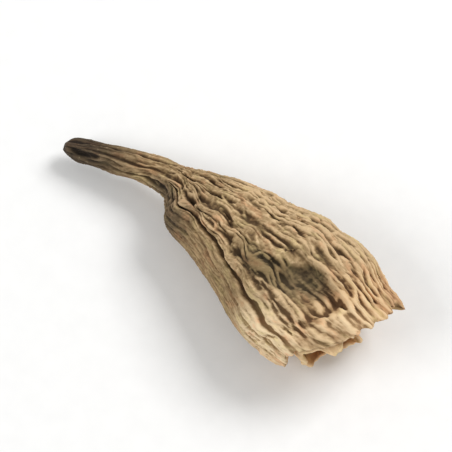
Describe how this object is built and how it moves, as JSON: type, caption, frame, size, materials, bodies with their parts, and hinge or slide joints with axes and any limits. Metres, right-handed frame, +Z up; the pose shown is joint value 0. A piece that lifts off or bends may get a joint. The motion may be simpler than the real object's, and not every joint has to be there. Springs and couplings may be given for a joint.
{
  "type": "dried morel mushroom",
  "caption": "Hollow dried morel cap lying on its side, with forking lengthwise ribs, a bent pointed tip, a dent near the base and a short cut stem.",
  "frame": {"origin": "middle of the bounding box in X and Y, on the surface that the cap lies on", "axes": "+X along the cap from its bent tip to the cut stem, +Z up from the surface, and the tip bends towards -Y"},
  "size_m": [0.0476, 0.0186, 0.0125],
  "materials": {
    "dried_skin": "dry and matt, light tan ribs over darker brown gaps, cream cut stem"
  },
  "bodies": {
    "root": {"morel": "dried_skin"}
  },
  "joints": []
}
